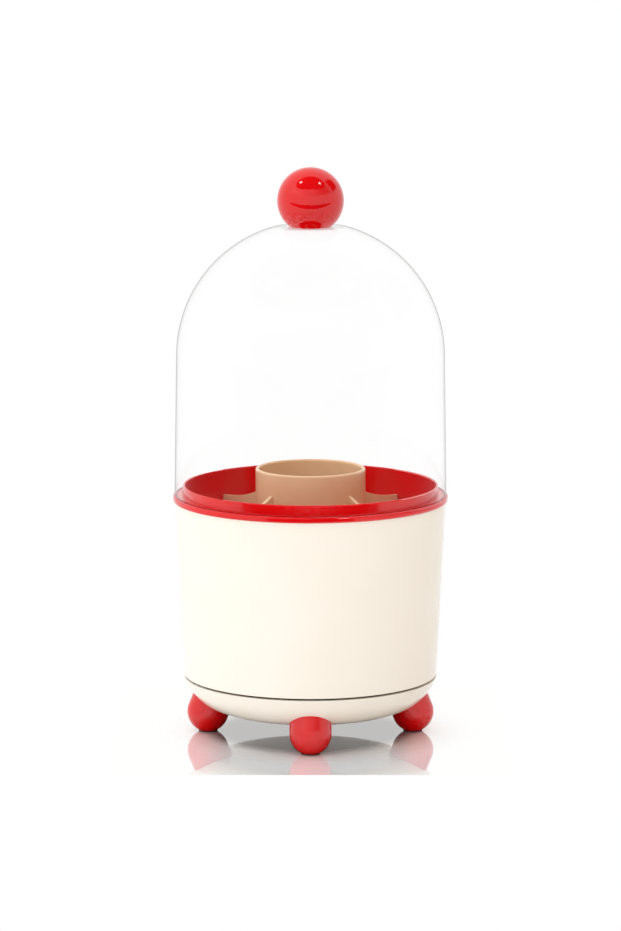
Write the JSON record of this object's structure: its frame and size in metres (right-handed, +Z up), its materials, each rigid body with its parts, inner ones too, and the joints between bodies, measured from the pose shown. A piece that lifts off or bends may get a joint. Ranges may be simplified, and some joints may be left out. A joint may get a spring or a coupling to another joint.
{
  "type": "dustproof makeup organizer",
  "caption": "Round makeup organizer: a bucket with a lift-out divider that turns on a base with ball feet, under a clear lift-off dome with a ball knob.",
  "frame": {"origin": "on the ground, below the turning axis, at the centre of the four feet", "axes": "+Z up along the turning axis, -Y towards the front foot"},
  "size_m": [0.14, 0.14, 0.2903],
  "materials": {
    "cream_plastic": "polished moulded ABS, cream",
    "red_plastic": "polished moulded ABS, bright red",
    "clear_plastic": "clear moulded PET, polished",
    "divider_plastic": "moulded PP, warm cream, half gloss",
    "dark_plastic": "moulded acetal, dark grey",
    "cage_plastic": "moulded nylon, natural white",
    "steel": "zinc-plated steel",
    "ball_steel": "polished bearing steel",
    "pad_rubber": "matt silicone rubber"
  },
  "bodies": {
    "base": {"base_bowl": "cream_plastic", "foot_right": "red_plastic", "foot_back": "red_plastic", "foot_left": "red_plastic", "foot_front": "red_plastic", "foot_pads": "pad_rubber", "foot_screws": "steel", "pivot_cap": "cream_plastic", "lower_race": "dark_plastic", "race_screws": "steel"},
    "bearing": {"bearing_balls": "ball_steel", "ball_cage": "cage_plastic"},
    "bucket": {"turning_plate": "dark_plastic", "plate_screws": "steel", "pivot_washer": "steel", "pivot_screw": "steel", "outer_shell": "cream_plastic", "inner_bucket": "red_plastic"},
    "divider": {"divider": "divider_plastic"},
    "lid": {"dome_cover": "clear_plastic", "knob_plug": "red_plastic", "knob_ball": "red_plastic"}
  },
  "joints": [
    {"name": "bucket_spin", "type": "hinge", "parent": "base", "child": "bucket", "pos_m": [0, 0, 0.029], "axis": [0, 0, 1], "continuous": true},
    {"name": "cage_spin", "type": "hinge", "parent": "base", "child": "bearing", "pos_m": [0, 0, 0.029], "axis": [0, 0, 1], "continuous": true},
    {"name": "lid_lift", "type": "slide", "parent": "bucket", "child": "lid", "axis": [0, 0, 1], "range_m": [0, 0.15]},
    {"name": "divider_lift", "type": "slide", "parent": "bucket", "child": "divider", "axis": [0, 0, 1], "range_m": [0, 0.09]}
  ],
  "couplings": [
    {"joint": "cage_spin", "follows": "bucket_spin", "ratio": 0.5}
  ]
}
